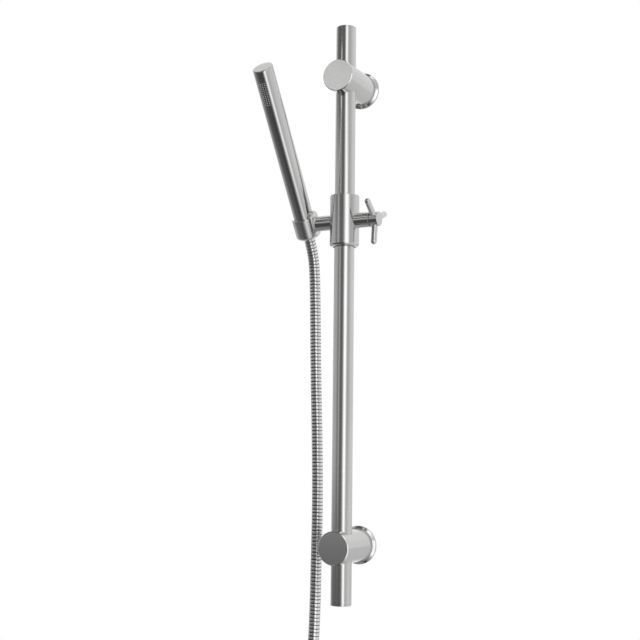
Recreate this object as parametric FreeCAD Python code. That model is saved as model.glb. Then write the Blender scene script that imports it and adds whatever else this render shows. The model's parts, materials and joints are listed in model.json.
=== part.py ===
import FreeCAD, Part
import math
import os

os.makedirs("parts", exist_ok=True)
Vec = FreeCAD.Vector

# Shower slide rail with its slider, hand shower and hose, in millimetres.
# +X runs right along the wall, +Y points into the wall and +Z is up.
# The origin is on the wall, midway between the axes of the two brackets.

# Rail
rail_diameter = 25.0
rail_wall = 1.5
rail_length = 712.0  # over both end caps
rail_standoff = 50.0  # wall to rail axis
cap_thickness = 2.0
cap_spigot_length = 10.0
cap_edge = 0.5

# Brackets
rail_overhang = 68.0  # bracket axis to the rail's end
post_diameter = 40.0
post_nose = 24.0  # front face ahead of the rail axis
post_edge = 0.8
post_rear_edge = 1.0
flange_diameter = 47.0
flange_thickness = 5.0
flange_edge = 3.0
anchor_base_diameter = 34.0
anchor_base_thickness = 3.0
anchor_spigot_diameter = 20.0
anchor_reach = 20.0  # wall to the spigot's end
wall_screw_hole = 5.5
wall_screw_head_bore = 11.0
wall_screw_seat = 8.0  # wall to the seat of the screw's head
post_bore_spare = 2.0  # room beyond the spigot's end
grub_diameter = 5.0
grub_length = 8.0
grub_offset = 13.0  # wall to the grub screw
rail_screw_diameter = 8.0
rail_screw_length = 10.0

# Slider
slider_diameter = 36.5
slider_length = 64.0
slider_height = 108.0  # middle of the slider above the origin
slider_top_edge = 0.8
slider_bottom_edge = 3.4
bush_length = 14.0
bush_wall = 1.5
bush_recess = 1.0  # bush end inside the slider's end
slider_core_clearance = 0.8  # between rail and the slider's middle bore
boss_diameter = 19.0
boss_length = 17.25  # slider's side to the end of the clamp boss
boss_edge = 0.6
arm_length = 19.15  # slider's side to the end of the holder arm
arm_root_diameter = 10.0

# Clamp knob
spindle_diameter = 7.8
spindle_seat = 8.0  # depth of the spindle in the hub
pad_diameter = 9.0
pad_length = 5.2
pad_gap = 0.3  # pad to rail
clamp_pitch = 1.25  # advance in one turn
hub_diameter = 18.0
hub_width = 11.0
hub_gap = 0.5  # hub to boss, clamped
hub_edge = 0.8
spoke_count = 3
spoke_diameter = 7.5
spoke_reach = 32.3
spoke_root = 5.0  # hub axis to the spoke's inner end
spoke_inset = 5.6  # outer hub face to the spoke axis
spoke_turn = 52.5  # first spoke, degrees forward of straight up

# Holder
holder_lean = 34.5  # degrees forward of upright
cup_diameter = 31.0
cup_rise = 11.0  # above the pivot
cup_drop = 16.5  # below the pivot
cup_top_edge = 0.6
cup_bottom_edge = 4.5
plate_width = 21.0
plate_rise = 18.0  # above the pivot
plate_drop = 15.5  # below the pivot
plate_thickness = 5.5
plate_edge = 1.6
plate_lip = 0.2  # outer face of the pivot plate beyond the cup's wall
slot_width = 15.5
stub_diameter = 9.0
stub_length = 14.0
stub_groove_width = 3.4
stub_groove_depth = 1.0
washer_thickness = 0.8
arm_screw_diameter = 4.0
arm_screw_point = 2.4

# Hand shower
handset_diameter = 25.0
handset_wall = 1.5
handset_foot = 6.0  # lower end of the tube above the pivot
handset_top = 205.0  # middle of the end face above the pivot
handset_cap_length = 7.0
handset_end_slant = 10.0  # degrees
handset_end_edge = 1.2
nozzle_rows = 13
nozzle_columns = 5
nozzle_pitch = 2.2
nozzle_column_angle = 13.0
nozzle_diameter = 1.0
nozzle_start = 17.0  # end of the tube to the first row
strip_thickness = 1.6
strip_margin = 3.0

# Half-inch fittings and the hose
thread_diameter = 20.96
thread_length = 10.0
connector_bore = 12.0
connector_seat = 12.0  # depth of the connector in the tube
seal_thickness = 2.0
seal_bore = 11.0
ferrule_thickness = 2.2
ferrule_bore = 9.0
nut_rim = 2.0  # straight rim at the top of the cone
nut_foot_diameter = 19.0
nut_foot = 14.5  # lower end of the cone below the pivot
hose_diameter = 14.0
hose_first_run = 25.0
coil_radius = 75.0  # middle of the turns
coil_turns = 2
coil_pitch = 14.6
coil_padding = 0.3  # solid outside the outermost strand
tie_width = 18.0
tie_thickness = 1.2
tail_length = 90.0
hex_across_flats = 24.0
hex_thread_reach = 12.0
hex_neck = 8.0
hex_relief = 0.3  # undercut at the inner end of the thread

# Clearances
turned_fit = 0.05  # pieces that are pushed or screwed together
loose_fit = 0.15  # spigots and rails in their bores
running_fit = 0.1  # bushes and pivots
hose_fit = 0.3  # hose in its nuts
seat_gap = 0.05  # flat faces that meet across a joint
tie_fit = 0.8  # strap round the coil

# The hose below its first bend, chosen by hand: X, Y, Z.
hose_route = [
    (-54.6, -22.6, 56.2),
    (-55.4, -18.0, 11.4),
    (-53.8, -17.6, -74.0),
    (-51.0, -17.0, -160.0),
    (-49.6, -16.6, -236.0),
    (-50.8, -16.2, -306.0),
    (-51.4, -16.6, -370.0),
    (-53.0, -18.6, -428.0),
    (-70.5, -22.4, -472.0),
    (-105.0, -28.0, -505.0),
    (-123.5, -33.6, -546.0),
]
coil_center = (-51.0, -37.0, -590.0)  # Y is that of the first strand


# Values that follow from the dimensions
rail_radius = rail_diameter / 2
rail_bore_radius = rail_radius - rail_wall
tube_half = rail_length / 2 - cap_thickness
bracket_height = rail_length / 2 - rail_overhang
rail_axis_y = -rail_standoff
post_front = rail_standoff + post_nose
slider_radius = slider_diameter / 2
boss_reach = slider_radius + boss_length
arm_reach = slider_radius + arm_length
slider_floor = slider_height - slider_length / 2
bush_inner = rail_radius + running_fit
bush_outer = bush_inner + bush_wall
pocket_radius = bush_outer + running_fit
core_radius = rail_radius + slider_core_clearance
pocket_depth = bush_recess + bush_length + turned_fit
hub_start = boss_reach + hub_gap
hub_end = hub_start + hub_width
spoke_center = hub_end - spoke_inset
pad_end = rail_radius + pad_gap + pad_length
plate_face = arm_reach + 2 * seat_gap + washer_thickness
cup_setback = cup_diameter / 2 + plate_lip  # outer face of the pivot plate to the axis of the hand shower
holder_offset = plate_face + cup_setback
handset_radius = handset_diameter / 2
tube_bore_radius = handset_radius - handset_wall
tube_top = handset_top - handset_cap_length
thread_radius = thread_diameter / 2
connector_foot = handset_foot - thread_length
seal_foot = connector_foot - seal_thickness - turned_fit
ferrule_foot = seal_foot - ferrule_thickness - turned_fit
nut_top = handset_foot - turned_fit
nut_bore_radius = thread_radius + turned_fit
nut_neck_radius = hose_diameter / 2 + hose_fit
hose_radius = hose_diameter / 2

holder_place = FreeCAD.Placement(
    Vec(-holder_offset, rail_axis_y, slider_height),
    FreeCAD.Rotation(Vec(1, 0, 0), holder_lean),
)


def save(shape, name):
    shape = shape.removeSplitter()
    solids = len(shape.Solids)
    if not shape.isValid() or solids != 1:
        raise RuntimeError(f"{name}: valid {shape.isValid()}, solids {solids}")
    shape.exportStep(f"parts/{name}.step")
    print(f"{name}: {shape.Volume / 1000:.2f} cm3")


def rod(diameter, start, end):
    start = Vec(*start)
    along = Vec(*end).sub(start)
    return Part.makeCylinder(diameter / 2, along.Length, start, along)


def corner(before, point, after, size):
    # A positive size rounds the corner, a negative one chamfers it.
    back = before.sub(point).normalize()
    ahead = after.sub(point).normalize()
    half = back.getAngle(ahead) / 2
    reach = size / math.tan(half) if size > 0 else -size
    start = point.add(back * reach)
    end = point.add(ahead * reach)
    if size < 0:
        return start, end, Part.makeLine(start, end)
    middle = back.add(ahead).normalize()
    depth = size / math.sin(half) - size
    return start, end, Part.Arc(start, point.add(middle * depth), end).toShape()


def turned(profile, base=(0, 0, 0), axis=(0, 0, 1)):
    # Revolves (radius, height) or (radius, height, corner size) points.
    points = [Vec(p[0], 0, p[1]) for p in profile]
    sizes = [p[2] if len(p) > 2 else 0 for p in profile]
    ends = []
    for i, point in enumerate(points):
        if sizes[i]:
            ends.append(corner(points[i - 1], point, points[(i + 1) % len(points)], sizes[i]))
        else:
            ends.append((point, point, None))
    edges = []
    for i, (start, end, bend) in enumerate(ends):
        if bend:
            edges.append(bend)
        following = ends[(i + 1) % len(ends)][0]
        if end.distanceToPoint(following) > 1e-6:
            edges.append(Part.makeLine(end, following))
    face = Part.Face(Part.Wire(Part.__sortEdges__(edges)))
    solid = face.revolve(Vec(0, 0, 0), Vec(0, 0, 1), 360)
    solid.Placement = FreeCAD.Placement(Vec(*base), FreeCAD.Rotation(Vec(0, 0, 1), Vec(*axis)))
    return solid


def hex_prism(across_flats, start, axis, length):
    radius = across_flats / math.sqrt(3)
    turns = [math.radians(60 * i + 30) for i in range(7)]
    wire = Part.makePolygon([Vec(radius * math.cos(a), radius * math.sin(a), 0) for a in turns])
    solid = Part.Face(wire).extrude(Vec(0, 0, length))
    solid.Placement = FreeCAD.Placement(Vec(*start), FreeCAD.Rotation(Vec(0, 0, 1), Vec(*axis)))
    return solid


def set_screw(diameter, length, base, axis, point_diameter=0.0, point_length=0.0):
    # A headless screw with a hexagon socket in the end that the axis points to.
    chamfer = diameter * 0.1
    radius = diameter / 2 - turned_fit
    profile = [(0, 0), (radius, 0, -chamfer), (radius, length, -chamfer), (0, length)]
    screw = turned(profile, base, axis)
    socket_depth = length * 0.4
    socket_start = Vec(*base).add(Vec(*axis) * (length - socket_depth))
    screw = screw.cut(hex_prism(diameter / 2, socket_start, axis, socket_depth))
    if point_length:
        tip = Vec(*base).sub(Vec(*axis) * point_length)
        screw = screw.fuse(rod(point_diameter, tip, Vec(*base).add(Vec(*axis))))
    return screw


def placed(shape):
    # Leans a piece drawn upright about the pivot into its place in the holder.
    moved = shape.copy()
    moved.Placement = holder_place.multiply(moved.Placement)
    return moved


def make_rail():
    tube = turned([
        (rail_bore_radius, -tube_half), (rail_radius, -tube_half),
        (rail_radius, tube_half), (rail_bore_radius, tube_half),
    ], (0, rail_axis_y, 0))
    save(tube, "rail_tube")
    spigot_radius = rail_bore_radius - turned_fit
    cap = [
        (0, -cap_spigot_length), (spigot_radius, -cap_spigot_length, -cap_edge),
        (spigot_radius, 0), (rail_radius, 0), (rail_radius, cap_thickness, -cap_edge), (0, cap_thickness),
    ]
    save(turned(cap, (0, rail_axis_y, tube_half)), "top_cap")
    save(turned(cap, (0, rail_axis_y, -tube_half), (0, 0, -1)), "bottom_cap")


def make_bracket(side, z):
    wall_point = (0, 0, z)
    outward = (0, -1, 0)
    spigot_radius = anchor_spigot_diameter / 2
    post_radius = post_diameter / 2
    bore_radius = spigot_radius + loose_fit
    bore_end = anchor_reach + post_bore_spare
    post = turned([
        (bore_radius, flange_thickness), (post_radius, flange_thickness, -post_rear_edge),
        (post_radius, post_front, -post_edge), (0, post_front), (0, bore_end), (bore_radius, bore_end),
    ], wall_point, outward)
    rail_hole = rail_diameter + 2 * loose_fit
    post = post.cut(rod(rail_hole, (0, rail_axis_y, z - post_radius), (0, rail_axis_y, z + post_radius)))
    post = post.cut(rod(rail_screw_diameter, (0, -bore_end, z), (0, rail_axis_y, z)))
    post = post.cut(rod(grub_diameter, (0, -grub_offset, z), (0, -grub_offset, z - post_radius)))
    save(post, f"{side}_post")

    flange_radius = flange_diameter / 2
    recess_radius = anchor_base_diameter / 2 + loose_fit
    recess_depth = anchor_base_thickness + loose_fit
    flange = turned([
        (recess_radius, 0), (flange_radius, 0), (flange_radius, flange_thickness, flange_edge),
        (bore_radius, flange_thickness), (bore_radius, recess_depth), (recess_radius, recess_depth),
    ], wall_point, outward)
    save(flange, f"{side}_flange")

    hole_radius = wall_screw_hole / 2
    head_radius = wall_screw_head_bore / 2
    anchor = turned([
        (hole_radius, 0), (anchor_base_diameter / 2, 0), (anchor_base_diameter / 2, anchor_base_thickness),
        (spigot_radius, anchor_base_thickness), (spigot_radius, anchor_reach, -post_edge),
        (head_radius, anchor_reach), (head_radius, wall_screw_seat), (hole_radius, wall_screw_seat),
    ], wall_point, outward)
    save(anchor, f"{side}_anchor")

    grub_base = (0, -grub_offset, z - spigot_radius - seat_gap)
    save(set_screw(grub_diameter, grub_length, grub_base, (0, 0, -1)), f"{side}_grub_screw")
    rail_screw_base = (0, rail_axis_y + rail_radius + seat_gap, z)
    save(set_screw(rail_screw_diameter, rail_screw_length, rail_screw_base, (0, 1, 0)), f"{side}_rail_screw")


def make_bushes():
    bush = [(bush_inner, 0), (bush_outer, 0), (bush_outer, bush_length), (bush_inner, bush_length)]
    lower = slider_floor + bush_recess
    upper = slider_floor + slider_length - bush_recess - bush_length
    save(turned(bush, (0, rail_axis_y, lower)), "lower_bush")
    save(turned(bush, (0, rail_axis_y, upper)), "upper_bush")


def make_slider():
    barrel_wall = slider_radius - pocket_radius
    lower_edge = min(slider_bottom_edge, 0.9 * barrel_wall)
    base = (0, rail_axis_y, slider_floor)
    body = turned([
        (0, 0), (slider_radius, 0, lower_edge),
        (slider_radius, slider_length, -slider_top_edge), (0, slider_length),
    ], base)
    boss = turned([
        (0, 0), (boss_diameter / 2, 0), (boss_diameter / 2, boss_reach, -boss_edge), (0, boss_reach),
    ], (0, rail_axis_y, slider_height), (1, 0, 0))
    body = body.fuse(boss)
    upper_step = slider_length - pocket_depth
    bore = turned([
        (0, 0), (pocket_radius, 0), (pocket_radius, pocket_depth), (core_radius, pocket_depth),
        (core_radius, upper_step), (pocket_radius, upper_step),
        (pocket_radius, slider_length), (0, slider_length),
    ], base)
    body = body.cut(bore)
    spindle_bore = spindle_diameter + 2 * running_fit
    middle = (0, rail_axis_y, slider_height)
    body = body.cut(rod(spindle_bore, middle, (boss_reach, rail_axis_y, slider_height)))
    pad_bore = pad_diameter + 2 * running_fit
    pad_room = pad_end + 2 * clamp_pitch
    body = body.cut(rod(pad_bore, middle, (pad_room, rail_axis_y, slider_height)))
    root_bore = arm_root_diameter + 2 * turned_fit
    body = body.cut(rod(root_bore, middle, (-slider_diameter, rail_axis_y, slider_height)))
    save(body, "slider_body")


def make_arm():
    start = (0, rail_axis_y, slider_height)
    arm = turned([
        (0, 0), (boss_diameter / 2, 0), (boss_diameter / 2, arm_reach, -boss_edge), (0, arm_reach),
    ], start, (-1, 0, 0))
    barrel_end = slider_height - slider_length
    saddle = rod(slider_diameter + 2 * turned_fit, (0, rail_axis_y, barrel_end),
                 (0, rail_axis_y, slider_height + slider_length))
    arm = arm.cut(saddle)
    socket_bottom = arm_reach - stub_length - loose_fit
    root = rod(arm_root_diameter, start, (-socket_bottom, rail_axis_y, slider_height))
    room_top = (0, rail_axis_y, slider_height + slider_length)
    rail_room = rod(2 * core_radius, (0, rail_axis_y, barrel_end), room_top)
    arm = arm.fuse(root.cut(rail_room))
    socket_diameter = stub_diameter + 2 * running_fit
    arm = arm.cut(rod(socket_diameter, (-arm_reach, rail_axis_y, slider_height),
                      (-socket_bottom, rail_axis_y, slider_height)))
    screw_x = -(plate_face - stub_length / 2)
    arm = arm.cut(rod(arm_screw_diameter, (screw_x, rail_axis_y, slider_height),
                      (screw_x, rail_axis_y, slider_height - boss_diameter)))
    save(arm, "holder_arm")

    groove_floor = stub_diameter / 2 - stub_groove_depth
    body_start = stub_diameter / 2 + running_fit + seat_gap
    point_length = body_start - groove_floor - loose_fit
    screw_length = boss_diameter / 2 - body_start - boss_edge
    screw = set_screw(arm_screw_diameter, screw_length, (screw_x, rail_axis_y, slider_height - body_start),
                      (0, 0, -1), arm_screw_point, point_length)
    save(screw, "arm_screw")

    washer_x = -(arm_reach + seat_gap)
    washer = rod(boss_diameter - 2 * boss_edge, (washer_x, rail_axis_y, slider_height),
                 (washer_x - washer_thickness, rail_axis_y, slider_height))
    washer = washer.cut(rod(stub_diameter + 2 * loose_fit, (washer_x, rail_axis_y, slider_height),
                            (washer_x - washer_thickness, rail_axis_y, slider_height)))
    save(washer, "pivot_washer")


def make_clamp():
    center = (0, rail_axis_y, slider_height)
    pad = rod(pad_diameter, center, (pad_end, rail_axis_y, slider_height))
    rail_room = rod(rail_diameter + 2 * pad_gap, (0, rail_axis_y, slider_floor),
                    (0, rail_axis_y, slider_floor + slider_length))
    save(pad.cut(rail_room), "pressure_pad")

    spindle_start = pad_end + seat_gap
    spindle_end = hub_start + spindle_seat
    spindle_radius = spindle_diameter / 2
    spindle = turned([
        (0, spindle_start), (spindle_radius, spindle_start, -boss_edge),
        (spindle_radius, spindle_end, -boss_edge), (0, spindle_end),
    ], center, (1, 0, 0))
    save(spindle, "knob_spindle")

    hub_radius = hub_diameter / 2
    hub = turned([
        (0, hub_start), (hub_radius, hub_start, -boss_edge), (hub_radius, hub_end, -hub_edge), (0, hub_end),
    ], center, (1, 0, 0))
    hub = hub.cut(rod(spindle_diameter + 2 * turned_fit, center, (spindle_end, rail_axis_y, slider_height)))
    spoke_radius = spoke_diameter / 2
    hub_middle = Vec(spoke_center, rail_axis_y, slider_height)
    for i in range(spoke_count):
        angle = math.radians(spoke_turn + 360 / spoke_count * i)
        along = Vec(0, -math.sin(angle), math.cos(angle))
        socket_radius = spoke_radius + turned_fit
        socket = Part.makeCylinder(socket_radius, hub_diameter, hub_middle.add(along * spoke_root), along)
        hub = hub.cut(socket)
        spoke = turned([
            (0, spoke_root), (spoke_radius, spoke_root), (spoke_radius, spoke_reach, 0.98 * spoke_radius),
            (0, spoke_reach),
        ], hub_middle, along)
        save(spoke, f"knob_spoke_{i + 1}")
    save(hub, "knob_hub")


def cone_radius(z):
    # Outside of the hose's conical nut at a height from the pivot.
    top = nut_top - nut_rim
    share = (top - z) / (top + nut_foot)
    upper = handset_radius - turned_fit
    return upper + (nut_foot_diameter / 2 - upper) * share


def pivot_plate(start, end):
    # An upright plate with round ends, chamfered on the side of the arm.
    radius = plate_width / 2
    plate = Part.makeBox(end - start, plate_width, plate_rise + plate_drop - plate_width,
                         Vec(start, -radius, radius - plate_drop))
    for z in (radius - plate_drop, plate_rise - radius):
        plate = plate.fuse(rod(plate_width, (start, 0, z), (end, 0, z)))
    plate = plate.removeSplitter()
    rim = [e for e in plate.Edges if e.CenterOfMass.x > end - plate_edge / 2]
    return plate.makeChamfer(plate_edge, rim)


def make_holder():
    cup_radius = cup_diameter / 2
    cup = turned([
        (0, -cup_drop), (cup_radius, -cup_drop, cup_bottom_edge),
        (cup_radius, cup_rise, -cup_top_edge), (0, cup_rise),
    ])
    plate_start = cup_setback - plate_thickness
    stub_radius = stub_diameter / 2
    stub_end = cup_setback + stub_length
    groove_start = cup_setback + (stub_length - stub_groove_width) / 2
    groove_end = groove_start + stub_groove_width
    groove_floor = stub_radius - stub_groove_depth
    stub = turned([
        (0, plate_start), (stub_radius, plate_start), (stub_radius, groove_start),
        (groove_floor, groove_start), (groove_floor, groove_end), (stub_radius, groove_end),
        (stub_radius, stub_end, -boss_edge), (0, stub_end),
    ], (0, 0, 0), (1, 0, 0))
    cup = cup.fuse(pivot_plate(plate_start, cup_setback)).fuse(stub)
    rim_foot = nut_top - nut_rim
    bore_top = max(cup_rise, plate_rise)
    bore = turned([
        (0, -cup_drop), (cone_radius(-cup_drop) + loose_fit, -cup_drop),
        (handset_radius + loose_fit, rim_foot), (handset_radius + loose_fit, bore_top), (0, bore_top),
    ])
    cup = cup.cut(bore)
    slot_length = cup_rise + cup_drop
    slot = Part.makeBox(cup_diameter, slot_width, slot_length, Vec(-cup_diameter, -slot_width / 2, -cup_drop))
    save(placed(cup.cut(slot)), "holder_cup")


def make_handset():
    tube = turned([
        (tube_bore_radius, handset_foot), (handset_radius, handset_foot, -post_edge / 2),
        (handset_radius, tube_top), (tube_bore_radius, tube_top),
    ])
    first_row = tube_top + handset_cap_length - nozzle_start
    holes = []
    for row in range(nozzle_rows):
        z = first_row - nozzle_pitch * row
        for column in range(nozzle_columns):
            angle = math.radians(nozzle_column_angle * (column - (nozzle_columns - 1) / 2))
            outward = Vec(math.sin(angle), -math.cos(angle), 0)
            holes.append(Part.makeCylinder(nozzle_diameter / 2, handset_diameter, Vec(0, 0, z), outward))
    save(placed(tube.cut(holes)), "handset_tube")

    field = nozzle_pitch * (nozzle_rows - 1)
    strip_top = first_row + strip_margin
    strip_foot = first_row - field - strip_margin
    strip_outer = tube_bore_radius - turned_fit
    spread = nozzle_column_angle * (nozzle_columns + 1)
    strip = turned([
        (strip_outer - strip_thickness, strip_foot), (strip_outer, strip_foot),
        (strip_outer, strip_top), (strip_outer - strip_thickness, strip_top),
    ])
    strip_length = strip_top - strip_foot
    wedge = Part.makeCylinder(handset_diameter, strip_length, Vec(0, 0, strip_foot), Vec(0, 0, 1), spread)
    wedge.rotate(Vec(0, 0, 0), Vec(0, 0, 1), -90 - spread / 2)
    save(placed(strip.common(wedge)), "nozzle_strip")

    reach = handset_cap_length + handset_diameter
    spigot_radius = tube_bore_radius - turned_fit
    cap = turned([
        (0, tube_top - handset_cap_length), (spigot_radius, tube_top - handset_cap_length, -cap_edge),
        (spigot_radius, tube_top), (handset_radius, tube_top),
        (handset_radius, tube_top + reach), (0, tube_top + reach),
    ])
    slant = Part.makeBox(4 * handset_diameter, 4 * handset_diameter, 4 * handset_diameter,
                         Vec(-2 * handset_diameter, -2 * handset_diameter, 0))
    slant.rotate(Vec(0, 0, 0), Vec(1, 0, 0), handset_end_slant)
    slant.translate(Vec(0, 0, handset_top))
    cap = cap.cut(slant)
    rim = [e for e in cap.Edges if e.BoundBox.ZMin > tube_top + 0.1 and e.Length > handset_diameter]
    cap = cap.makeFillet(handset_end_edge, rim)
    save(placed(cap), "handset_cap")

    inner = connector_bore / 2
    connector = turned([
        (inner, connector_foot), (thread_radius - turned_fit, connector_foot, -cap_edge),
        (thread_radius - turned_fit, handset_foot), (tube_bore_radius - turned_fit, handset_foot),
        (tube_bore_radius - turned_fit, handset_foot + connector_seat),
        (inner, handset_foot + connector_seat),
    ])
    save(placed(connector), "handset_connector")


def make_hose_top():
    ring_radius = nut_bore_radius - loose_fit
    seal = turned([
        (seal_bore / 2, seal_foot), (ring_radius, seal_foot),
        (ring_radius, seal_foot + seal_thickness), (seal_bore / 2, seal_foot + seal_thickness),
    ])
    save(placed(seal), "upper_seal")
    ferrule = turned([
        (ferrule_bore / 2, ferrule_foot), (ring_radius, ferrule_foot),
        (ring_radius, ferrule_foot + ferrule_thickness), (ferrule_bore / 2, ferrule_foot + ferrule_thickness),
    ])
    save(placed(ferrule), "upper_ferrule")
    shoulder = ferrule_foot - turned_fit
    nut = turned([
        (nut_neck_radius, -nut_foot), (nut_foot_diameter / 2, -nut_foot, -cap_edge),
        (handset_radius - turned_fit, nut_top - nut_rim), (handset_radius - turned_fit, nut_top, -cap_edge),
        (nut_bore_radius, nut_top), (nut_bore_radius, shoulder), (nut_neck_radius, shoulder),
    ])
    save(placed(nut), "hose_cone_nut")


def run_lengths(points):
    return [b.sub(a).Length for a, b in zip(points, points[1:])]


def hose_tube(points):
    # Straight runs joined by the largest tangent arcs that the runs leave room for.
    runs = run_lengths(points)
    edges = []
    radii = []
    start = points[0]
    for i in range(1, len(points) - 1):
        back = points[i - 1].sub(points[i]).normalize()
        ahead = points[i + 1].sub(points[i]).normalize()
        half_turn = (math.pi - back.getAngle(ahead)) / 2
        reach = 0.45 * min(runs[i - 1], runs[i])
        radius = reach / math.tan(half_turn)
        radii.append(radius)
        leave = points[i].add(back * reach)
        arrive = points[i].add(ahead * reach)
        middle = back.add(ahead).normalize()
        sagitta = radius / math.cos(half_turn) - radius
        edges.append(Part.LineSegment(start, leave).toShape())
        edges.append(Part.Arc(leave, points[i].add(middle * sagitta), arrive).toShape())
        start = arrive
    edges.append(Part.LineSegment(start, points[-1]).toShape())
    path = Part.Wire(edges)
    first = points[1].sub(points[0])
    ring = Part.Wire(Part.makeCircle(hose_radius, points[0], first))
    solid = path.makePipeShell([ring], True, True)
    expected = math.pi * hose_radius ** 2 * path.Length
    print("hose radii", [round(r) for r in radii])
    print(f"hose run {path.Length:.1f} mm, volume {solid.Volume / expected:.4f} of section times length")
    return solid, path.Length


def make_hose():
    top = holder_place.multVec(Vec(0, 0, ferrule_foot))
    bend = holder_place.multVec(Vec(0, 0, ferrule_foot - hose_first_run))
    center_x, first_y, center_z = coil_center
    coil_start = Vec(center_x - coil_radius, first_y, center_z)
    points = [top, bend] + [Vec(*p) for p in hose_route] + [coil_start]
    drop, drop_length = hose_tube(points)
    save(drop, "hose_drop")

    last_y = first_y - coil_turns * coil_pitch
    half_section = hose_radius + coil_padding
    coil = turned([
        (coil_radius - half_section, -half_section, -hose_radius / 2),
        (coil_radius + half_section, -half_section, -hose_radius / 2),
        (coil_radius + half_section, coil_turns * coil_pitch + half_section, -hose_radius / 2),
        (coil_radius - half_section, coil_turns * coil_pitch + half_section, -hose_radius / 2),
    ], (center_x, first_y, center_z), (0, -1, 0))
    save(coil, "hose_coil")

    inner = half_section + tie_fit
    depth = coil_turns * coil_pitch + 2 * inner
    corner_low = Vec(coil_start.x - inner, last_y - inner, center_z - tie_width / 2)
    hole = Part.makeBox(2 * inner, depth, tie_width, corner_low)
    wrap = Part.makeBox(2 * (inner + tie_thickness), depth + 2 * tie_thickness, tie_width,
                        corner_low.sub(Vec(tie_thickness, tie_thickness, 0)))
    tie = wrap.cut(hole)
    upright = [e for e in tie.Edges if abs(e.Length - tie_width) < 1e-6]
    outer = [e for e in upright if abs(e.CenterOfMass.x - coil_start.x) > inner + tie_thickness / 2]
    save(tie.makeFillet(tie_thickness, outer), "coil_tie")

    tail_foot = center_z - tail_length
    tail = rod(hose_diameter, (coil_start.x, last_y, center_z), (coil_start.x, last_y, tail_foot))
    save(tail, "hose_tail")
    coil_length = coil_turns * math.hypot(2 * math.pi * coil_radius, coil_pitch)
    print(f"hose length {drop_length + coil_length + tail_length:.0f} mm")
    make_supply_end((coil_start.x, last_y, tail_foot))


def make_supply_end(foot):
    down = (0, 0, -1)
    ring_radius = thread_radius - hose_fit
    ferrule = turned([
        (ferrule_bore / 2, 0), (ring_radius, 0),
        (ring_radius, ferrule_thickness), (ferrule_bore / 2, ferrule_thickness),
    ], foot, down)
    save(ferrule, "lower_ferrule")
    seal_start = ferrule_thickness + turned_fit
    seal = turned([
        (seal_bore / 2, seal_start), (ring_radius, seal_start),
        (ring_radius, seal_start + seal_thickness), (seal_bore / 2, seal_start + seal_thickness),
    ], foot, down)
    save(seal, "lower_seal")
    nut_length = hex_neck + hose_fit + seal_start + seal_thickness + hex_thread_reach
    nut_start = Vec(foot[0], foot[1], foot[2] + hex_neck + hose_fit)
    nut = hex_prism(hex_across_flats, nut_start, down, nut_length)
    edge_radius = hex_across_flats / math.sqrt(3)
    edge_cut = edge_radius - hex_across_flats / 2
    barrel = turned([
        (0, 0), (edge_radius, 0, -edge_cut), (edge_radius, nut_length, -edge_cut), (0, nut_length),
    ], nut_start, down)
    nut = nut.common(barrel)
    relief_radius = thread_radius + hex_relief
    thread_start = nut_length - hex_thread_reach
    bore = turned([
        (0, 0), (nut_neck_radius, 0), (nut_neck_radius, hex_neck), (relief_radius, hex_neck),
        (relief_radius, thread_start), (thread_radius, thread_start),
        (thread_radius, nut_length), (0, nut_length),
    ], nut_start, down)
    save(nut.cut(bore), "supply_nut")


make_rail()
make_bracket("upper", bracket_height)
make_bracket("lower", -bracket_height)
make_bushes()
make_slider()
make_arm()
make_clamp()
make_holder()
make_handset()
make_hose_top()
make_hose()
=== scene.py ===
import json
import math
import bpy
import bmesh
from mathutils import Matrix, Vector


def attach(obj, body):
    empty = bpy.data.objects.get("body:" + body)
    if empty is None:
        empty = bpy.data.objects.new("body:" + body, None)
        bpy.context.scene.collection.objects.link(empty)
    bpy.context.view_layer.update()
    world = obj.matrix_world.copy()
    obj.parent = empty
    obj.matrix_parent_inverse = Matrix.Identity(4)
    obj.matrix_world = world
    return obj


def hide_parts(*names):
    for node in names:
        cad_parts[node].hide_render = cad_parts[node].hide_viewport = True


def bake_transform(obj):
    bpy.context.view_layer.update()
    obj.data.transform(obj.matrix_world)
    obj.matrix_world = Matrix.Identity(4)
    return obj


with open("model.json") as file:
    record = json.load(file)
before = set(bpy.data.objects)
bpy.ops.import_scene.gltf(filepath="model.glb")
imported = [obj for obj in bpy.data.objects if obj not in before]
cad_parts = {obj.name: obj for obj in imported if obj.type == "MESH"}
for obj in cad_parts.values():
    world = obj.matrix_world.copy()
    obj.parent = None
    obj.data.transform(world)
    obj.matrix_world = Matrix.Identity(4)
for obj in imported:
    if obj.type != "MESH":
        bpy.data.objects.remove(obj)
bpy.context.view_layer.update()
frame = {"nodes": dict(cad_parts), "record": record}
mm = 0.001
scene = bpy.context.scene
print("frame loaded,", len(frame["nodes"]), "nodes")


def put(name, data):
    obj = bpy.data.objects.new(name, data)
    scene.collection.objects.link(obj)
    return obj


# camera, set to the photo's angle
shot = {
    "place": (0.6159, -1.3336, -0.1838), "yaw": 26.797, "pitch": 6.779, "roll": 0.675,
    "lens": 65.94, "sensor": 36, "clipStart": 0.05,
}


def makeCamera(c):
    yaw, pitch, roll = (math.radians(c[k]) for k in ("yaw", "pitch", "roll"))
    ahead = Vector((-math.sin(yaw) * math.cos(pitch), math.cos(yaw) * math.cos(pitch), math.sin(pitch)))
    flat = Vector((math.cos(yaw), math.sin(yaw), 0))
    right = flat * math.cos(roll) + flat.cross(ahead) * math.sin(roll)
    up = right.cross(ahead)
    turn = Matrix((right, up, -ahead)).transposed().to_4x4()
    data = bpy.data.cameras.new("photoCamera")
    data.lens = c["lens"]
    data.sensor_width = c["sensor"]
    data.clip_start = c["clipStart"]
    cam = put("photoCamera", data)
    cam.matrix_world = Matrix.Translation(c["place"]) @ turn
    scene.camera = cam


makeCamera(shot)


# places, in mm and degrees
def moved(x, y, z):
    return Matrix.Translation((x * mm, y * mm, z * mm))


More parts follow.
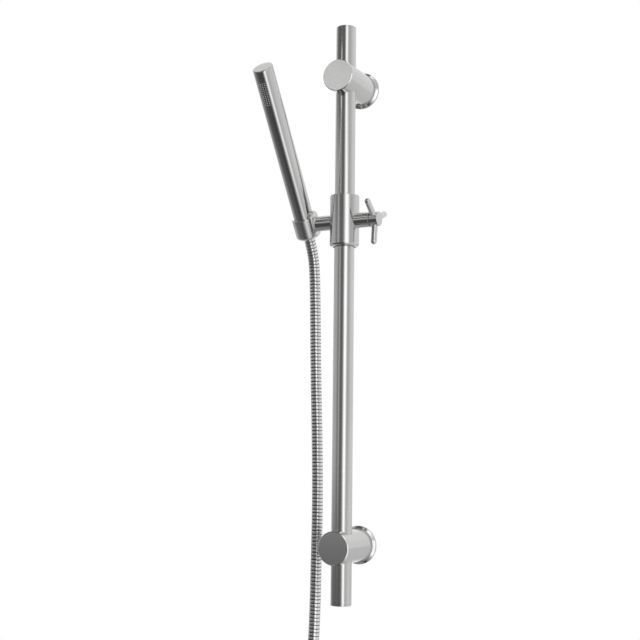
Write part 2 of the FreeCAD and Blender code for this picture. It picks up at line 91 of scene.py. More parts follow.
def turned(degrees, axis):
    return Matrix.Rotation(math.radians(degrees), 4, axis)


railY = -50  # rail axis in front of the wall
sliderZ = 108  # middle of the slider
pivotX = -54  # where the hand shower's axis crosses the tilt axis
leanAngle = 34.5  # hand shower's slope at rest, from upright
lean = moved(pivotX, railY, sliderZ) @ turned(leanAngle, "X")
atRail = moved(0, railY, 0)
atSlider = moved(0, railY, sliderZ)


def atWall(z):  # height runs out of the wall
    return moved(0, 0, z) @ turned(90, "X")


def alongX(side=1):  # height runs away from the rail
    return atSlider @ turned(90 * side, "Y")


# sizes that several pieces share, in mm
snug = 0.05  # gap round a piece that sits tight
loose = 0.15  # gap round a piece with some play
past, farPast = 1, 5  # how far a cutting shape runs on in the open


# node helpers
def addNode(tree, kind, **values):
    node = tree.nodes.new(kind)
    for key, value in values.items():
        if key in node.inputs:
            node.inputs[key].default_value = value
        else:
            setattr(node, key, value)
    return node


def feed(tree, target, value):  # links a socket, sets any other value
    if isinstance(value, bpy.types.NodeSocket):
        tree.links.new(value, target)
    else:
        target.default_value = value


def sumOf(tree, kind, first, second=0.0):
    node = addNode(tree, "ShaderNodeMath", operation=kind)
    feed(tree, node.inputs[0], first)
    feed(tree, node.inputs[1], second)
    return node.outputs["Value"]


def rangeOf(tree, value, start, end, low=0.0, high=1.0):
    node = addNode(tree, "ShaderNodeMapRange")
    parts = {"Value": value, "From Min": start, "From Max": end, "To Min": low, "To Max": high}
    for name, part in parts.items():
        feed(tree, node.inputs[name], part)
    return node.outputs["Result"]


def mixOf(tree, factor, first, second):
    node = addNode(tree, "ShaderNodeMix", data_type="RGBA")
    for name, part in {"Factor": factor, "A": first, "B": second}.items():
        feed(tree, node.inputs[name], part)
    return node.outputs["Result"]


# materials: colours run from dark to light, and roughness a little to both sides of its value
noiseSpan = (0.3, 0.7)  # most of a noise lies between these
brush = {
    "mottle": (14, 14, 9), "mottleDetail": 3, "streak": (5, 900, 1), "streakDetail": 4,
    "smoother": -0.03, "rougher": 0.04, "bump": 0.02, "depth": 0.0003,
}
speckle = {"detail": 4, "smoother": -0.06, "rougher": 0.06}


def startMaterial(name, metallic):
    mat = bpy.data.materials.new(name)
    mat.use_nodes = True
    tree = mat.node_tree
    shader = tree.nodes["Principled BSDF"].inputs
    shader["Metallic"].default_value = metallic
    return mat, tree, shader, addNode(tree, "ShaderNodeTexCoord").outputs


def noiseOf(tree, source, scale, detail):
    stretch = addNode(tree, "ShaderNodeMapping", Scale=scale)
    grain = addNode(tree, "ShaderNodeTexNoise", Scale=1.0, Detail=detail)
    tree.links.new(source, stretch.inputs["Vector"])
    tree.links.new(stretch.outputs["Vector"], grain.inputs["Vector"])
    return rangeOf(tree, grain.outputs["Fac"], *noiseSpan)


def tint(tree, shader, tone, dark, light):
    feed(tree, shader["Base Color"], mixOf(tree, tone, (*dark, 1), (*light, 1)))


def roughen(tree, shader, tone, rough, kind):
    span = rangeOf(tree, tone, 0.0, 1.0, rough + kind["smoother"], rough + kind["rougher"])
    feed(tree, shader["Roughness"], span)


def brushedMetal(name, dark, light, rough):
    mat, tree, shader, coord = startMaterial(name, 1.0)
    tint(tree, shader, noiseOf(tree, coord["Object"], brush["mottle"], brush["mottleDetail"]), dark, light)
    streak = noiseOf(tree, coord["UV"], brush["streak"], brush["streakDetail"])
    roughen(tree, shader, streak, rough, brush)
    relief = addNode(tree, "ShaderNodeBump", Strength=brush["bump"], Distance=brush["depth"])
    feed(tree, relief.inputs["Height"], streak)
    feed(tree, shader["Normal"], relief.outputs["Normal"])
    return mat


def grainy(name, dark, light, rough, scale, metallic=0.0):
    mat, tree, shader, coord = startMaterial(name, metallic)
    tone = noiseOf(tree, coord["Object"], (scale, scale, scale), speckle["detail"])
    tint(tree, shader, tone, dark, light)
    roughen(tree, shader, tone, rough, speckle)
    return mat


def grey(level):
    return (level, level, level)


steel = brushedMetal("brushedSteel", (0.66, 0.66, 0.655), (0.72, 0.72, 0.715), rough=0.14)
satin = brushedMetal("satinSteel", (0.72, 0.72, 0.715), (0.78, 0.78, 0.775), rough=0.25)
hoseSteel = grainy("hoseSteel", grey(0.88), grey(0.95), rough=0.24, scale=300, metallic=1.0)
# the groove material is painted shade: the hose metal darkened on the faces in the grooves between the rings
hoseGrooveShade = grainy("hoseGrooveShade", grey(0.12), grey(0.2), rough=0.4, scale=300, metallic=1.0)
looks = {
    "steel": grainy("turnedSteel", grey(0.64), grey(0.72), rough=0.25, scale=260, metallic=1.0),
    "screw_steel": grainy("screwSteel", grey(0.4), grey(0.5), rough=0.35, scale=400, metallic=1.0),
    "nylon": grainy("nylon", (0.76, 0.76, 0.74), (0.84, 0.84, 0.82), rough=0.45, scale=120),
    "seal": grainy("sealRubber", grey(0.03), grey(0.06), rough=0.6, scale=200),
    "silicone": grainy("silicone", grey(0.4), grey(0.5), rough=0.4, scale=500),
    "brass": grainy("brass", (0.62, 0.48, 0.22), (0.76, 0.62, 0.34), rough=0.28, scale=300, metallic=1.0),
    "hose": hoseSteel,
    "strap": grainy("strapWeave", grey(0.02), grey(0.06), rough=0.8, scale=900),
}
for row in frame["record"]["subparts"]:
    node = frame["nodes"][row["node"]]
    node.data.materials.clear()
    node.data.materials.append(looks[row["material_slot"]])
print("materials made")

# mesh helpers
arcSteps = 5
onAxis = 1e-6  # a smaller radius is a point on the axis
sharpAngle = 32
largeSides, middleSides, smallSides, holeSides = 128, 96, 48, 32


def softened(points):  # a third number at a corner is the radius of its arc
    line = []
    for i, p in enumerate(points):
        here = Vector(p[:2])
        if len(p) < 3:
            line.append(here)
            continue
        back = (Vector(points[i - 1][:2]) - here).normalized()
        on = (Vector(points[(i + 1) % len(points)][:2]) - here).normalized()
        half = back.angle(on) / 2
        reach = p[2] / math.tan(half)
        middle = here + (back + on).normalized() * (p[2] / math.sin(half))
        start, end = here + back * reach - middle, here + on * reach - middle
        sweep = start.angle_signed(end)
        for k in range(arcSteps + 1):
            line.append(middle + Matrix.Rotation(-sweep * k / arcSteps, 2) @ start)
    return line


def lathe(name, points, place, turns, shift=None):  # turns (radius, height) points round the height
    line = softened(points)
    mesh = bpy.data.meshes.new(name)
    bm = bmesh.new()
    uv = bm.loops.layers.uv.new("wrap")
    rings, length, run = [], 0, []
    for i, p in enumerate(line):
        length += (p - line[i - 1]).length if i else 0
        run.append(length * mm)
        ring = []
        for k in range(turns if p.x > onAxis else 1):
            a = math.tau * k / turns + math.pi / 2
            spot = Vector((p.x * math.cos(a), p.x * math.sin(a), p.y))
            ring.append(bm.verts.new((shift(spot) if shift else spot) * mm))
        rings.append(ring)
    closed = line[0].x > onAxis and line[-1].x > onAxis
    pairs = [(i, i + 1) for i in range(len(line) - 1)] + ([(len(line) - 1, 0)] if closed else [])
    for i, j in pairs:
        a, b = rings[i], rings[j]
        for k in range(turns):
            n = (k + 1) % turns
            corners = [a[k % len(a)], a[n % len(a)], b[n % len(b)], b[k % len(b)]]
            spots = [(k, i), (k + 1, i), (k + 1, j), (k, j)]
            kept = [(c, s) for x, (c, s) in enumerate(zip(corners, spots)) if c not in corners[:x]]
            if len(kept) < 3:
                continue
            face = bm.faces.new([c for c, s in kept])
            for loop, (c, s) in zip(face.loops, kept):
                loop[uv].uv = (s[0] / turns, run[s[1]] if j or s[1] else length * mm)
    bmesh.ops.recalc_face_normals(bm, faces=bm.faces)
    bm.to_mesh(mesh)
    bm.free()
    mesh.transform(place)
    return put(name, mesh)


def rod(name, radius, low, high, place, turns):
    return lathe(name, [(0, low), (radius, low), (radius, high), (0, high)], place, turns)


def boxPiece(name, low, high, place):
    mesh = bpy.data.meshes.new(name)
    bm = bmesh.new()
    bmesh.ops.create_cube(bm, size=1)
    for v in bm.verts:
        v.co = Vector((low[i] + (v.co[i] + 0.5) * (high[i] - low[i])) for i in range(3)) * mm
    bm.to_mesh(mesh)
    bm.free()
    mesh.transform(place)
    return put(name, mesh)


def finished(obj):  # the mesh that the modifiers give
    scene.view_layers[0].update()
    mesh = bpy.data.meshes.new_from_object(obj.evaluated_get(bpy.context.evaluated_depsgraph_get()))
    obj.modifiers.clear()
    return mesh


def joinShapes(obj, *steps):
    for kind, tool in steps:
        mod = obj.modifiers.new("shape", "BOOLEAN")
        mod.operation = kind
        mod.solver = "MANIFOLD"
        mod.object = tool
    obj.data = finished(obj)
    for kind, tool in steps:
        bpy.data.objects.remove(tool)


def dress(obj, body, nodes, mat):
    obj.data.materials.clear()
    obj.data.materials.append(mat)
    obj.data.shade_smooth()
    obj.data.set_sharp_from_angle(angle=math.radians(sharpAngle))
    flat = obj.modifiers.new("flatFaces", "WEIGHTED_NORMAL")  # keeps flats flat beside rounded edges
    flat.keep_sharp = True
    obj.data = finished(obj)
    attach(obj, body)
    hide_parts(*nodes)


def startGroup(name, kinds):
    group = bpy.data.node_groups.new(name, "GeometryNodeTree")
    face = group.interface
    face.new_socket("Geometry", in_out="INPUT", socket_type="NodeSocketGeometry")
    for label, kind in kinds.items():
        face.new_socket(label, in_out="INPUT", socket_type="NodeSocket" + kind)
    face.new_socket("Geometry", in_out="OUTPUT", socket_type="NodeSocketGeometry")
    given, made = addNode(group, "NodeGroupInput"), addNode(group, "NodeGroupOutput")
    return group, given.outputs, made.inputs["Geometry"]


def nodesToMesh(obj, group, settings):
    sockets = {s.name: s.identifier for s in group.interface.items_tree if s.in_out == "INPUT"}
    mod = obj.modifiers.new("nodes", "NODES")
    mod.node_group = group
    for name, value in settings.items():
        mod[sockets[name]] = value
    return finished(obj)


# hose: the route's points first, then the turns of the coil, then the tail
hose = {
    "top": -8.3, "straight": 25, "exit": -16.5,  # along the holder's axis
    "route": [
        (-54.6, -22.6, 56.2), (-55.4, -18.0, 11.4), (-53.8, -17.6, -74.0), (-51.0, -17.0, -160.0),
        (-49.6, -16.6, -236.0), (-50.8, -16.2, -306.0), (-51.4, -16.6, -370.0), (-53.0, -18.6, -428.0),
        (-70.5, -22.4, -472.0), (-105.0, -28.0, -505.0), (-123.5, -33.6, -546.0),
    ],
    "bendEnd": (-55.0, -20.0, 12.0),
    "coil": (-51.0, -37.0, -590.0), "coilRadius": 75, "turns": 2, "pitch": 14.6, "perTurn": 24,
    "tail": 90, "tailParts": (0.25, 0.6, 1.0), "length": 1.75, "diameter": 14, "sides": 24, "smooth": 12,
    # the last number: how far into a groove its faces get the painted shade
    "ringPitch": 4.4, "steps": 8, "groove": 0.4, "narrow": 4.0, "shadeFrom": 0.4,
}


def held(along):  # a point on the holder's axis
    return lean @ Vector((0, 0, along * mm)) / mm


def hoseLine(h):
    points = [held(h["top"]), held(h["top"] - h["straight"])] + [Vector(p) for p in h["route"]]
    centre = Vector(h["coil"])
    wide = h["coilRadius"] / math.cos(math.pi / h["perTurn"])  # the curve runs inside its corners
    for k in range(h["turns"] * h["perTurn"]):
        part = (k + 0.5) / h["perTurn"]
        a = math.pi + math.tau * part
        points.append(centre + Vector((wide * math.cos(a), -h["pitch"] * part, wide * math.sin(a))))
    out = centre + Vector((-h["coilRadius"], -h["turns"] * h["pitch"], 0))
    points += [out - Vector((0, 0, h["tail"] * part)) for part in h["tailParts"]]
    data = bpy.data.curves.new("hoseLine", "CURVE")
    data.dimensions = "3D"
    data.resolution_u = h["smooth"]
    line = data.splines.new("NURBS")
    line.points.add(len(points) - 1)
    for spot, p in zip(line.points, points):
        spot.co = (*(p * mm), 1)
    line.order_u = 3
    line.use_endpoint_u = True
    return put("hoseLine", data)


def hoseNodes(h):
    group, given, made = startGroup("hoseRings", {
        "Radius": "Float", "Ring Pitch": "Float", "Groove Depth": "Float", "Steps per Ring": "Int",
        "Ring Material": "Material", "Groove Shade Material": "Material",
    })
    link = group.links.new
    steps = addNode(group, "GeometryNodeResampleCurve", mode="LENGTH")
    link(given["Geometry"], steps.inputs["Curve"])
    link(sumOf(group, "DIVIDE", given["Ring Pitch"], given["Steps per Ring"]), steps.inputs["Length"])
    count = addNode(group, "GeometryNodeInputIndex").outputs["Index"]
    turn = sumOf(group, "MULTIPLY", sumOf(group, "DIVIDE", count, given["Steps per Ring"]), math.tau)
    wave = sumOf(group, "MAXIMUM", sumOf(group, "COSINE", turn), 0.0)
    sunk = sumOf(group, "POWER", wave, h["narrow"])  # 1 in the groove between two rings, 0 on the ring
    keep = addNode(group, "GeometryNodeCaptureAttribute")
    keep.capture_items.new("FLOAT", "sunk")
    link(steps.outputs["Curve"], keep.inputs["Geometry"])
    link(sunk, keep.inputs["sunk"])
    wide = sumOf(group, "SUBTRACT", given["Radius"], sumOf(group, "MULTIPLY", sunk, given["Groove Depth"]))
    section = addNode(group, "GeometryNodeCurvePrimitiveCircle", Resolution=h["sides"], Radius=1.0)
    skin = addNode(group, "GeometryNodeCurveToMesh")
    skin.inputs["Fill Caps"].default_value = True
    link(keep.outputs["Geometry"], skin.inputs["Curve"])
    link(section.outputs["Curve"], skin.inputs["Profile Curve"])
    link(wide, skin.inputs["Scale"])
    ringLook = addNode(group, "GeometryNodeSetMaterial")
    link(skin.outputs["Mesh"], ringLook.inputs["Geometry"])
    link(given["Ring Material"], ringLook.inputs["Material"])
    # painted shade: the groove faces get the darkened hose metal, where shade falls between the rings
    grooveShadeLook = addNode(group, "GeometryNodeSetMaterial")
    link(ringLook.outputs["Geometry"], grooveShadeLook.inputs["Geometry"])
    link(sumOf(group, "GREATER_THAN", keep.outputs["sunk"], h["shadeFrom"]), grooveShadeLook.inputs["Selection"])
    link(given["Groove Shade Material"], grooveShadeLook.inputs["Material"])
    link(grooveShadeLook.outputs["Geometry"], made)
    return group


def makeHose(h):
    line = hoseLine(h)
    bare = bpy.data.meshes.new_from_object(line)
    path = [v.co.copy() for v in bare.vertices]
    bpy.data.meshes.remove(bare)
    long = sum((b - a).length for a, b in zip(path, path[1:]))
    settings = {
        "Radius": h["diameter"] / 2 * mm, "Ring Pitch": h["ringPitch"] * mm, "Groove Depth": h["groove"] * mm,
        "Steps per Ring": h["steps"], "Ring Material": hoseSteel, "Groove Shade Material": hoseGrooveShade,
    }
    mesh = nodesToMesh(line, hoseNodes(h), settings)
    bpy.data.objects.remove(line)
    mesh.name = "hose"
    mesh.shade_smooth()
    obj = put("hose", mesh)
    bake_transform(obj)
    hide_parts("hose_drop", "hose_coil", "hose_tail")
    print("hose made, %.3f m long, %d triangles" % (long, sum(len(p.vertices) - 2 for p in mesh.polygons)))


makeHose(hose)

# rail and end caps
rail = {"radius": 12.5, "wall": 1.5, "half": 354, "cap": 2, "spigot": 10, "edge": 0.6}
railBore = rail["radius"] - rail["wall"]
tube = lathe("railTube", [
    (railBore, -rail["half"]), (rail["radius"], -rail["half"]),
    (rail["radius"], rail["half"]), (railBore, rail["half"]),
], atRail, largeSides)
dress(tube, "rail", ["rail_tube"], steel)
capLine = [
    (0, -rail["spigot"]), (railBore - loose, -rail["spigot"]), (railBore - loose, snug),
    (rail["radius"], snug, loose), (rail["radius"], rail["cap"], rail["edge"]), (0, rail["cap"]),
]
for name, node, flip in (("topCap", "top_cap", 0), ("bottomCap", "bottom_cap", 180)):
    end = atRail @ turned(flip, "X") @ moved(0, 0, rail["half"])
    dress(lathe(name, capLine, end, largeSides), "rail", [node], steel)

# brackets: narrow bevels on the post's face and the flange's rim catch the light
bracket = {
    "height": 288, "bore": 10.15, "grub": 2.5, "grubAt": 13,
    "post": 20, "nose": 24, "boreDepth": 22, "edge": 0.8, "bevel": 0.9, "bevelDrop": 0.68, "bevelEdge": 0.1,
    "flange": 23.5, "thick": 5, "recess": 17.15, "recessDepth": 3.15,
    "wallEdge": 0.3, "rimFoot": 2.6, "rimTop": 20.4, "rimEdge": 0.5,
}
postFace = bracket["nose"] - railY  # front of the post from the wall
postLine = [
    (bracket["bore"], bracket["thick"]), (bracket["post"], bracket["thick"], bracket["edge"]),
    (bracket["post"], postFace - bracket["bevelDrop"], bracket["bevelEdge"]),
    (bracket["post"] - bracket["bevel"], postFace, bracket["bevelEdge"]), (0, postFace),
    (0, bracket["boreDepth"]), (bracket["bore"], bracket["boreDepth"]),
]
flangeLine = [
    (bracket["recess"], 0), (bracket["flange"], 0, bracket["wallEdge"]),
    (bracket["flange"], bracket["rimFoot"], bracket["rimEdge"]),
    (bracket["rimTop"], bracket["thick"], bracket["rimEdge"]), (bracket["bore"], bracket["thick"]),
    (bracket["bore"], bracket["recessDepth"]), (bracket["recess"], bracket["recessDepth"]),
]
tall = 2 * bracket["post"]
for side, z in (("upper", bracket["height"]), ("lower", -bracket["height"])):
    post = lathe(side + "Post", postLine, atWall(z), largeSides)
    hole = rod("railHole", rail["radius"] + loose, -tall, tall, moved(0, railY, z), largeSides)
    grub = rod("grubHole", bracket["grub"], -tall, 0, moved(0, -bracket["grubAt"], z), holeSides)
    joinShapes(post, ("DIFFERENCE", hole), ("DIFFERENCE", grub))
    dress(post, "rail", [side + "_post"], steel)
    flange = lathe(side + "Flange", flangeLine, atWall(z), largeSides)
    dress(flange, "rail", [side + "_flange"], steel)
print("rail and brackets made")

# slider with its clamp boss, and the holder's arm
slider = {
    "radius": 18.25, "half": 32, "topEdge": 0.8, "footEdge": 3.4,
    "core": 13.3, "pocket": 14.2, "pocketEnd": 16.95,
    "boss": 9.5, "bossRoot": 5, "bossReach": 35.5, "bossEdge": 0.3,
    "pad": 4.6, "padEnd": 20.5, "spindle": 4.0,
    "armRoot": 12, "armReach": 37.4, "armEdge": 0.6, "stub": 4.6, "stubEnd": 23.2,
}
over = slider["half"] + past
barrel = lathe("sliderBody", [
    (0, -slider["half"]), (slider["radius"], -slider["half"], slider["footEdge"]),
    (slider["radius"], slider["half"], slider["topEdge"]), (0, slider["half"]),
], atSlider, largeSides)
boss = lathe("boss", [
    (0, slider["bossRoot"]), (slider["boss"], slider["bossRoot"]),
    (slider["boss"], slider["bossReach"], slider["bossEdge"]), (0, slider["bossReach"]),
], alongX(), middleSides)
core = lathe("core", [
    (0, -over), (slider["pocket"], -over), (slider["pocket"], -slider["pocketEnd"]),
    (slider["core"], -slider["pocketEnd"]), (slider["core"], slider["pocketEnd"]),
    (slider["pocket"], slider["pocketEnd"]), (slider["pocket"], over), (0, over),
], atSlider, middleSides)
wayEnd = slider["bossReach"] + farPast
spindleWay = lathe("spindleWay", [
    (0, 0), (slider["pad"], 0), (slider["pad"], slider["padEnd"]), (slider["spindle"], slider["padEnd"]),
    (slider["spindle"], wayEnd), (0, wayEnd),
], alongX(), smallSides)
joinShapes(barrel, ("UNION", boss), ("DIFFERENCE", core), ("DIFFERENCE", spindleWay))
dress(barrel, "slider", ["slider_body"], steel)
arm = lathe("holderArm", [
    (0, slider["armRoot"]), (slider["boss"], slider["armRoot"]),
    (slider["boss"], slider["armReach"], slider["armEdge"]), (0, slider["armReach"]),
], alongX(-1), middleSides)
saddle = rod("saddle", slider["radius"] + snug, -over, over, atSlider, largeSides)
socketEnd = slider["armReach"] + farPast
socket = rod("socket", slider["stub"], slider["stubEnd"], socketEnd, alongX(-1), smallSides)
joinShapes(arm, ("DIFFERENCE", saddle), ("DIFFERENCE", socket))
dress(arm, "slider", ["holder_arm"], steel)

# knob
knob = {
    "hub": 9, "start": 36, "end": 47, "startEdge": 0.3, "endEdge": 0.8, "seat": 3.95, "seatEnd": 44,
    "count": 3, "turn": 52.5, "spokeAt": 41.4,
    "spoke": 3.75, "spokeRoot": 5, "reach": 32.3, "roundness": 0.97,
}
hub = lathe("knobHub", [
    (0, knob["start"]), (knob["hub"], knob["start"], knob["startEdge"]),
    (knob["hub"], knob["end"], knob["endEdge"]), (0, knob["end"]),
], alongX(), middleSides)
spindleSeat = rod("spindleSeat", knob["seat"], knob["start"] - farPast, knob["seatEnd"], alongX(), smallSides)
joinShapes(hub, ("DIFFERENCE", spindleSeat))
dress(hub, "knob", ["knob_hub"], steel)
for k in range(knob["count"]):
    way = moved(knob["spokeAt"], 0, 0) @ atSlider @ turned(knob["turn"] + 360 / knob["count"] * k, "X")
    spoke = lathe("knobSpoke%d" % (k + 1), [
        (0, knob["spokeRoot"]), (knob["spoke"], knob["spokeRoot"]),
        (knob["spoke"], knob["reach"], knob["roundness"] * knob["spoke"]), (0, knob["reach"]),
    ], way, smallSides)
    dress(spoke, "knob", ["knob_spoke_%d" % (k + 1)], satin)
print("slider and knob made")

# hand shower, its conical nut and the cup that holds them, with heights along the holder's axis
hand = {
    "radius": 12.5, "wall": 1.5, "foot": 6, "footEdge": 0.4, "top": 205, "cap": 7, "slant": 10, "edge": 1.2,
}
nut = {
    "top": 5.95, "rim": 2, "topEdge": 0.4, "foot": -14.5, "footRadius": 9.5, "footEdge": 0.5,
    "bore": 10.53, "shoulder": -8.35, "neck": 7.3,
}
cup = {"radius": 15.5, "rise": 11, "drop": -16.5, "rimEdge": 0.6, "footEdge": 4.5, "slot": 15.5}
plate = {
    "half": 10.5, "rise": 18, "drop": -15.5, "back": 10.2, "face": 15.7, "slope": 1.6,
    "backEdge": 0.3, "slopeEdge": 0.6, "faceEdge": 0.4, "stub": 4.5, "stubLength": 14, "stubEdge": 0.6,
}
nutRadius = hand["radius"] - snug
coneTop = nut["top"] - nut["rim"]
taper = (nutRadius - nut["footRadius"]) / (coneTop - nut["foot"])
bowl = lathe("holderCup", [
    (0, cup["drop"]), (cup["radius"], cup["drop"], cup["footEdge"]),
    (cup["radius"], cup["rise"], cup["rimEdge"]), (0, cup["rise"]),
], lean, largeSides)


def stretched(p):  # pulls a turned disc's ends apart into the oblong plate
    reach = plate["rise"] - plate["half"] if p.x < 0 else plate["drop"] + plate["half"]
    return Vector((p.x - reach, p.y, p.z))


toArm = lean @ turned(90, "Y")
oblong = lathe("pivotPlate", [
    (0, plate["back"]), (plate["half"], plate["back"], plate["backEdge"]),
    (plate["half"], plate["face"] - plate["slope"], plate["slopeEdge"]),
    (plate["half"] - plate["slope"], plate["face"], plate["faceEdge"]), (0, plate["face"]),
], toArm, largeSides, stretched)
stubEnd = plate["face"] + plate["stubLength"]
stub = lathe("stub", [
    (0, plate["back"]), (plate["stub"], plate["back"]),
    (plate["stub"], stubEnd, plate["stubEdge"]), (0, stubEnd),
], toArm, smallSides)
low = cup["drop"] - past
high = plate["rise"] + past
lowRadius = nut["footRadius"] + loose + taper * (low - nut["foot"])
boreRadius = hand["radius"] + loose
inside = lathe("inside", [
    (0, low), (lowRadius, low), (boreRadius, coneTop), (boreRadius, high), (0, high),
], lean, largeSides)
halfSlot = cup["slot"] / 2
gap = boxPiece("gap", (-2 * cup["radius"], -halfSlot, low), (0, halfSlot, cup["rise"] + past), lean)
joinShapes(bowl, ("UNION", oblong), ("UNION", stub), ("DIFFERENCE", inside), ("DIFFERENCE", gap))
dress(bowl, "holder", ["holder_cup"], satin)

handBore = hand["radius"] - hand["wall"]
tubeTop = hand["top"] - hand["cap"]
handTube = lathe("handsetTube", [
    (handBore, hand["foot"]), (hand["radius"], hand["foot"], hand["footEdge"]),
    (hand["radius"], tubeTop), (handBore, tubeTop),
], lean, largeSides)
dress(handTube, "holder", ["handset_tube"], steel)


def slantEnd(p):  # tilts the cap's end, more towards its top
    part = max(0, (p.z - tubeTop - snug) / hand["cap"])
    return Vector((p.x, p.y, p.z + math.tan(math.radians(hand["slant"])) * p.y * part))


capRadius = handBore - snug
capFoot = tubeTop + snug / 2
handCap = lathe("handsetCap", [
    (0, tubeTop - hand["cap"]), (capRadius, tubeTop - hand["cap"]), (capRadius, capFoot),
    (hand["radius"], capFoot), (hand["radius"], hand["top"], hand["edge"]), (0, hand["top"]),
], lean, largeSides, slantEnd)
dress(handCap, "holder", ["handset_cap"], steel)
coneNut = lathe("hoseConeNut", [
    (nut["neck"], nut["foot"]), (nut["footRadius"], nut["foot"], nut["footEdge"]), (nutRadius, coneTop),
    (nutRadius, nut["top"], nut["topEdge"]), (nut["bore"], nut["top"]), (nut["bore"], nut["shoulder"]),
    (nut["neck"], nut["shoulder"]),
], lean, middleSides)
dress(coneNut, "holder", ["hose_cone_nut"], steel)

# spray nozzles
spray = {
    "rows": 13, "columns": 5, "pitch": 2.2, "angle": 13, "start": 17,
    "radius": 0.62, "flat": 0.7, "segments": 10, "rings": 6,
}


def sprayNodes(f):
    group, given, made = startGroup("sprayField", {
        "Rows": "Int", "Columns": "Int", "Field Length": "Float", "Field Angle": "Float",
        "Tube Radius": "Float", "Nozzle Radius": "Float", "Flatness": "Float", "Material": "Material",
    })
    link = group.links.new
    grid = addNode(group, "GeometryNodeMeshGrid")
    link(given["Field Angle"], grid.inputs["Size X"])
    link(given["Field Length"], grid.inputs["Size Y"])
    link(given["Columns"], grid.inputs["Vertices X"])
    link(given["Rows"], grid.inputs["Vertices Y"])
    spot, parts = addNode(group, "GeometryNodeInputPosition"), addNode(group, "ShaderNodeSeparateXYZ")
    link(spot.outputs["Position"], parts.inputs["Vector"])
    angle = parts.outputs["X"]  # the grid's X is wrapped round the tube
    outward = addNode(group, "ShaderNodeCombineXYZ")
    link(sumOf(group, "SINE", angle), outward.inputs["X"])
    link(sumOf(group, "MULTIPLY", sumOf(group, "COSINE", angle), -1.0), outward.inputs["Y"])
    reach = addNode(group, "ShaderNodeVectorMath", operation="SCALE")
    link(outward.outputs["Vector"], reach.inputs[0])
    link(given["Tube Radius"], reach.inputs["Scale"])
    height = addNode(group, "ShaderNodeCombineXYZ")
    link(parts.outputs["Y"], height.inputs["Z"])
    place = addNode(group, "ShaderNodeVectorMath", operation="ADD")
    link(reach.outputs["Vector"], place.inputs[0])
    link(height.outputs["Vector"], place.inputs[1])
    aim = addNode(group, "FunctionNodeAlignRotationToVector", axis="Z")
    link(outward.outputs["Vector"], aim.inputs["Vector"])
    keep = addNode(group, "GeometryNodeCaptureAttribute")
    keep.capture_items.new("ROTATION", "aim")
    link(grid.outputs["Mesh"], keep.inputs["Geometry"])
    link(aim.outputs["Rotation"], keep.inputs["aim"])
    move = addNode(group, "GeometryNodeSetPosition")
    link(keep.outputs["Geometry"], move.inputs["Geometry"])
    link(place.outputs["Vector"], move.inputs["Position"])
    nub = addNode(group, "GeometryNodeMeshUVSphere", Segments=f["segments"], Rings=f["rings"])
    link(given["Nozzle Radius"], nub.inputs["Radius"])
    squash = addNode(group, "ShaderNodeCombineXYZ", X=1.0, Y=1.0)
    link(given["Flatness"], squash.inputs["Z"])
    scatter = addNode(group, "GeometryNodeInstanceOnPoints")
    link(move.outputs["Geometry"], scatter.inputs["Points"])
    link(nub.outputs["Mesh"], scatter.inputs["Instance"])
    link(keep.outputs["aim"], scatter.inputs["Rotation"])
    link(squash.outputs["Vector"], scatter.inputs["Scale"])
    real = addNode(group, "GeometryNodeRealizeInstances")
    link(scatter.outputs["Instances"], real.inputs["Geometry"])
    look = addNode(group, "GeometryNodeSetMaterial")
    link(real.outputs["Geometry"], look.inputs["Geometry"])
    link(given["Material"], look.inputs["Material"])
    link(look.outputs["Geometry"], made)
    return group


def makeSpray(f):
    fieldLength = f["pitch"] * (f["rows"] - 1)
    settings = {
        "Rows": f["rows"], "Columns": f["columns"], "Field Length": fieldLength * mm,
        "Field Angle": math.radians(f["angle"] * (f["columns"] - 1)), "Tube Radius": hand["radius"] * mm,
        "Nozzle Radius": f["radius"] * mm, "Flatness": f["flat"], "Material": looks["silicone"],
    }
    holder = put("sprayNozzles", bpy.data.meshes.new("sprayNozzles"))
    mesh = nodesToMesh(holder, sprayNodes(f), settings)
    holder.data = mesh
    mesh.transform(lean @ moved(0, 0, hand["top"] - f["start"] - fieldLength / 2))
    mesh.shade_smooth()
    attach(holder, "holder")


makeSpray(spray)
print("holder and hand shower made")

# studio: floor in mm, lamps in metres
ground = {"half": 1200, "top": -1080, "thick": 5}
floor = boxPiece(
    "floor", (-ground["half"], -ground["half"], ground["top"] - ground["thick"]),
    (ground["half"], ground["half"], ground["top"]), Matrix(),
)
floor.data.materials.append(grainy("paleFloor", grey(0.8), grey(0.84), rough=0.7, scale=3))
floor.visible_glossy = False
lamps = {
    "keyLamp": {
        "place": (1.4, -1.7, 1.2), "aim": (0, -0.05, 0), "size": (0.8, 1.2),
        "power": 30, "mirrored": False,
    },
    "upperCard": {  # the upper post's face mirrors it
        "place": (-0.207, -0.5, 0.443), "aim": (0, -0.07, 0.29), "size": (0.12, 0.11),
        "power": 0.027, "mirrored": True,
    },
}


def softBox(name, c):
    data = bpy.data.lights.new(name, "AREA")
    data.shape = "RECTANGLE"
    data.size, data.size_y = c["size"]
    data.energy = c["power"]
    lamp = put(name, data)
    lamp.location = c["place"]
    lamp.rotation_euler = (Vector(c["aim"]) - lamp.location).to_track_quat("-Z", "Y").to_euler()
    lamp.visible_glossy = c["mirrored"]


for name, lamp in lamps.items():
    softBox(name, lamp)

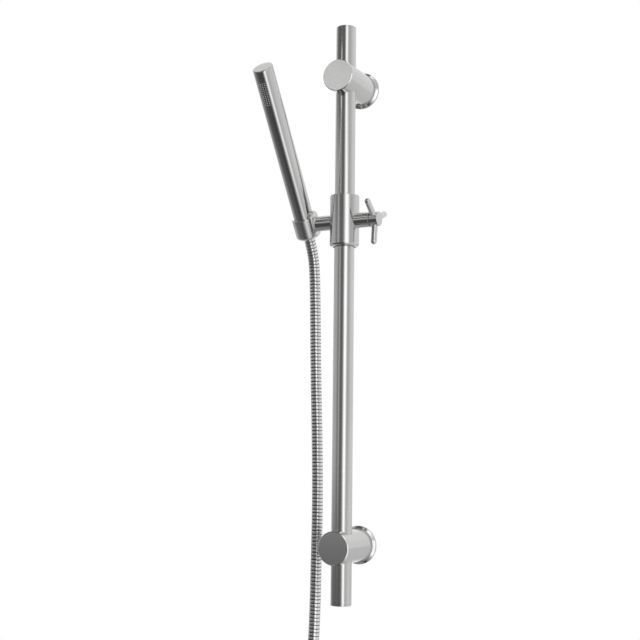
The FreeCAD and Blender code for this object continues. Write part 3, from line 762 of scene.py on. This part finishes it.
# light around the part, in bands one over the other: sines of the heights between which a band comes in,
# then its stops, each a turn in degrees from straight ahead of the wall and a level of light
bands = {
    "eyeHeight": {"stops": [
        (-180, 0.8), (-80, 0.5), (-62, 0.52), (-34, 0.2), (-27, 0.52), (-20, 0.52), (-13, 0.2), (8, 0.13),
        (20, 0.34), (27, 0.7), (34, 1.35), (40, 1.5), (50, 1.5), (66, 0.55), (80, 0.5), (121, 0.8),
        (180, 0.8)]},
    "above": {"fade": (0.24, 0.31), "stops": [
        (-180, 0.85), (-120, 0.8), (-80, 0.16), (-44, 0.11), (12, 0.15), (20, 0.5), (27, 1.4), (34, 1.5),
        (40, 1.3), (50, 0.6), (66, 0.5), (121, 0.82), (180, 0.85)]},
    "below": {"fade": (0.0, -0.088), "stops": [
        (-180, 0.6), (-120, 0.45), (-80, 0.14), (10, 0.13), (20, 0.2), (27, 0.35), (34, 0.75), (40, 1.4),
        (50, 1.5), (57, 0.9), (66, 0.55), (107, 0.8), (180, 0.6)]},
    "low": {"fade": (-0.13, -0.26), "stops": [
        (-180, 0.6), (-120, 0.75), (-80, 0.16), (-44, 0.07), (14, 0.08), (20, 0.14), (27, 0.35), (34, 0.75),
        (40, 1.4), (50, 1.5), (57, 0.9), (66, 0.55), (107, 0.8), (180, 0.6)]},
    "under": {"fade": (-0.62, -0.78), "stops": [
        (-180, 0.3), (-80, 0.3), (-27, 0.08), (6, 0.06), (14, 0.1), (50, 0.6), (107, 0.65), (180, 0.3)]},
}
backdropFade = (0.86, 0.96)  # cosines of the angles from its middle where the mirrored backdrop comes in


def bandColour(tree, turn, stops):
    ramp = addNode(tree, "ShaderNodeValToRGB")
    bar = ramp.color_ramp
    while len(bar.elements) < len(stops):
        bar.elements.new(0.5)
    for element, (way, bright) in zip(bar.elements, stops):
        element.position = (way + 180) / 360
        element.color = (*grey(bright), 1)
    feed(tree, ramp.inputs["Fac"], turn)
    return ramp.outputs["Color"]


def studioWorld(bands):
    world = bpy.data.worlds.new("studio")
    scene.world = world
    world.use_nodes = True
    tree = world.node_tree
    way = addNode(tree, "ShaderNodeTexCoord").outputs["Generated"]
    split = addNode(tree, "ShaderNodeSeparateXYZ")
    feed(tree, split.inputs["Vector"], way)
    front = sumOf(tree, "MULTIPLY", split.outputs["Y"], -1.0)
    turn = rangeOf(tree, sumOf(tree, "ARCTAN2", split.outputs["X"], front), -math.pi, math.pi)
    level = None
    for band in bands.values():
        colour = bandColour(tree, turn, band["stops"])
        if level:
            colour = mixOf(tree, rangeOf(tree, split.outputs["Z"], *band["fade"]), level, colour)
        level = colour
    yaw = math.radians(shot["yaw"])
    behind = addNode(tree, "ShaderNodeVectorMath", operation="DOT_PRODUCT")
    feed(tree, behind.inputs[0], way)
    feed(tree, behind.inputs[1], (-math.sin(yaw), math.cos(yaw), 0))
    backdrop = rangeOf(tree, behind.outputs["Value"], *backdropFade)
    rays = addNode(tree, "ShaderNodeLightPath").outputs
    white = sumOf(tree, "MULTIPLY", backdrop, rays["Is Glossy Ray"])  # metal shows the white backdrop too
    for ray in ("Is Camera Ray", "Is Transmission Ray"):
        white = sumOf(tree, "MAXIMUM", white, rays[ray])
    feed(tree, tree.nodes["Background"].inputs["Color"], mixOf(tree, white, level, (*grey(1), 1)))


studioWorld(bands)
scene.view_settings.view_transform = "Standard"
print("studio made")
